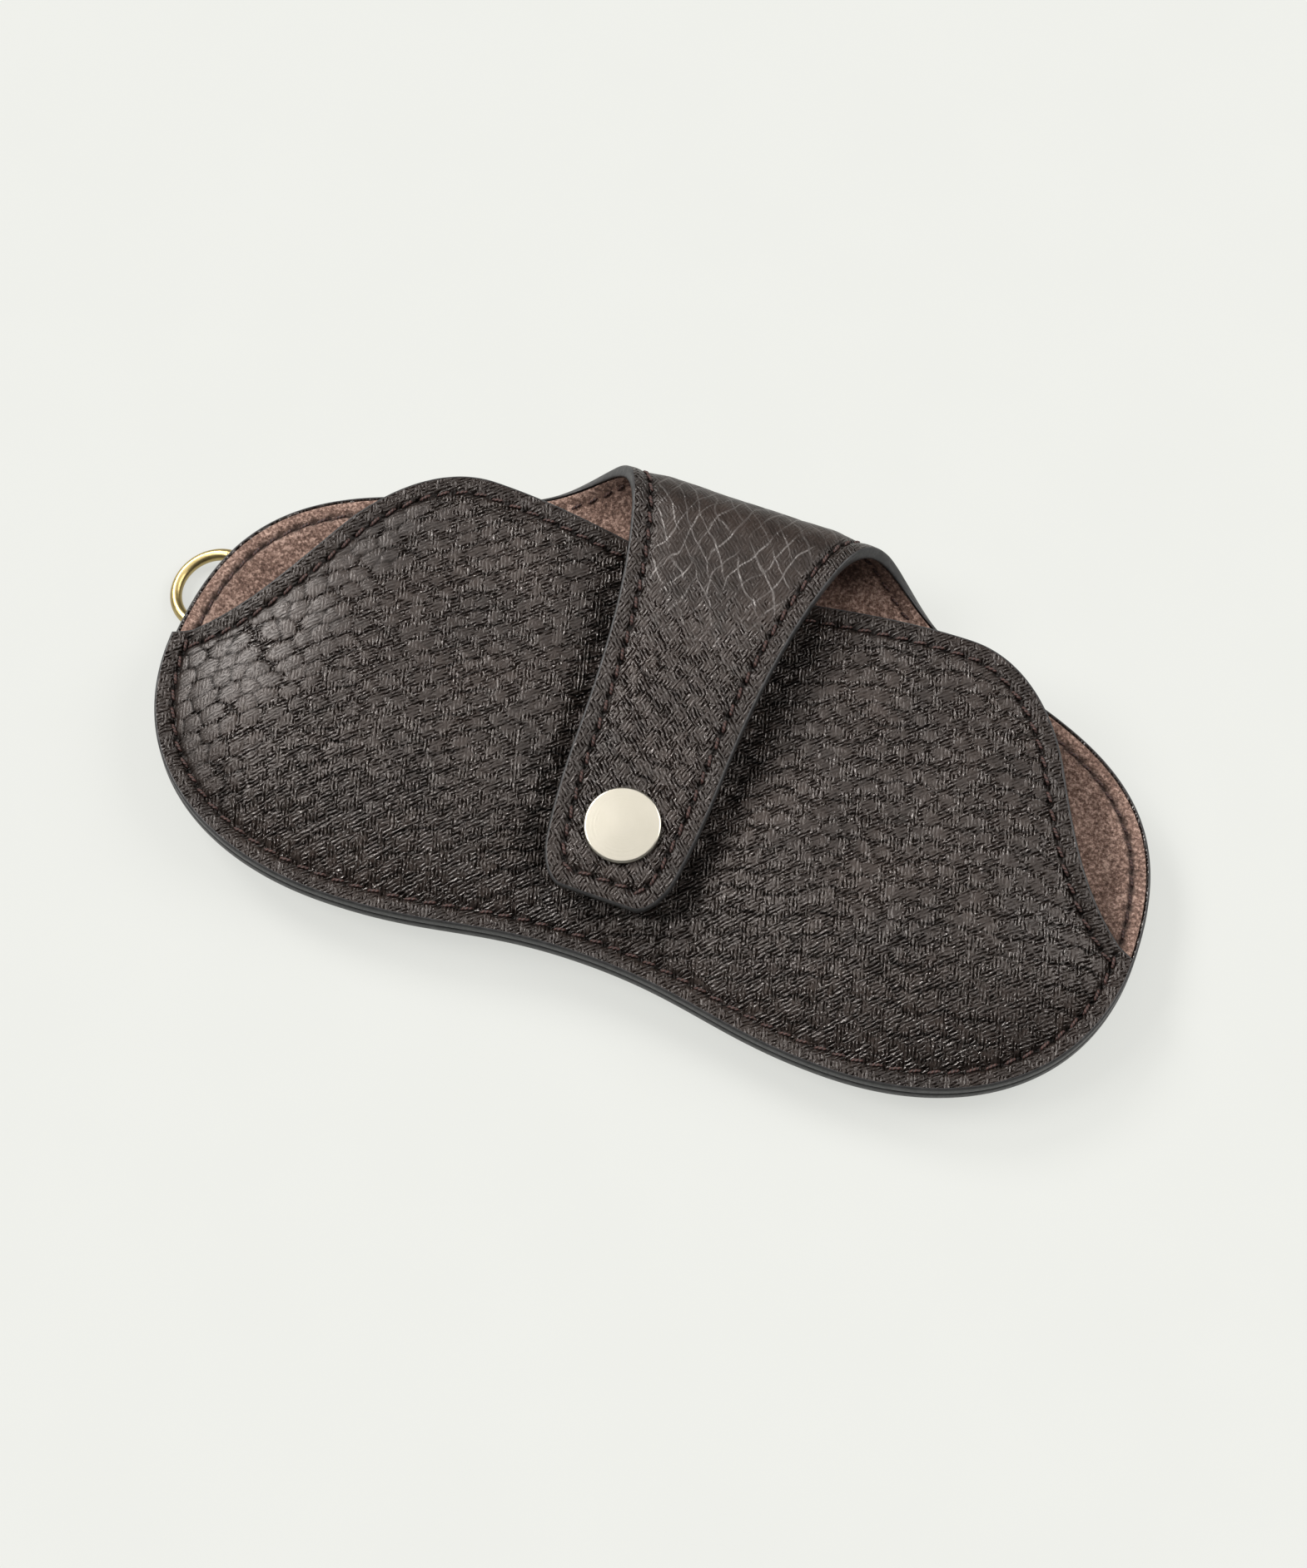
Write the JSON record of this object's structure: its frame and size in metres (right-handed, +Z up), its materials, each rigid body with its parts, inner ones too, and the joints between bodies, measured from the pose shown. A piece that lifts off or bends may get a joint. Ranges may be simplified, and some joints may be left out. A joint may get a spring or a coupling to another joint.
{
  "type": "glasses case",
  "caption": "Soft leather glasses case: a sewn, lined pouch with a curved open mouth, a folding strap with a snap and a D-ring on a leather tab.",
  "frame": {"origin": "middle of the flat zone of the back panel, on its outer face, where the case rests", "axes": "+X along the length, away from the D-ring; +Y towards the fold of the strap; +Z up, out of the front panel"},
  "size_m": [0.1797, 0.0906, 0.0257],
  "materials": {
    "grain_leather": "pebble grain, semi-matt",
    "tab_leather": "smooth, semi-matt",
    "suede": "napped, matt",
    "foam": "matt",
    "board": "matt fibre board",
    "thread": "twisted, matt",
    "pale_gold": "polished",
    "old_brass": "satin",
    "ring_brass": "antique, polished",
    "spring_steel": "drawn wire"
  },
  "bodies": {
    "pouch": {"back_leather": "grain_leather", "front_leather": "grain_leather", "fold_leather": "grain_leather", "back_lining": "suede", "front_lining": "suede", "fold_lining": "suede", "seam_thread": "thread", "mouth_thread": "thread", "rim_thread_right": "thread", "rim_thread_left": "thread", "fold_thread_right": "thread", "fold_thread_left": "thread", "tab_thread": "thread", "front_foam": "foam", "back_board": "board", "ring_tab": "tab_leather", "snap_stud": "old_brass", "snap_post": "old_brass"},
    "strap": {"strap_leather": "grain_leather", "strap_lining": "suede", "strap_thread": "thread", "snap_cap": "pale_gold", "snap_socket": "old_brass", "snap_spring": "spring_steel"},
    "ring": {"d_ring": "ring_brass"}
  },
  "joints": [
    {"name": "strap_fold", "type": "hinge", "parent": "pouch", "child": "strap", "pos_m": [0, 0.0494, 0.015], "axis": [-1, 0, 0], "range_deg": [0, 150], "deforming": ["fold_leather", "fold_lining", "fold_thread_right", "fold_thread_left", "snap_spring"]},
    {"name": "ring_swing", "type": "hinge", "parent": "pouch", "child": "ring", "pos_m": [-0.0835, 0.0084, 0.00311], "axis": [0, -1, 0], "range_deg": [-25, 130]}
  ]
}
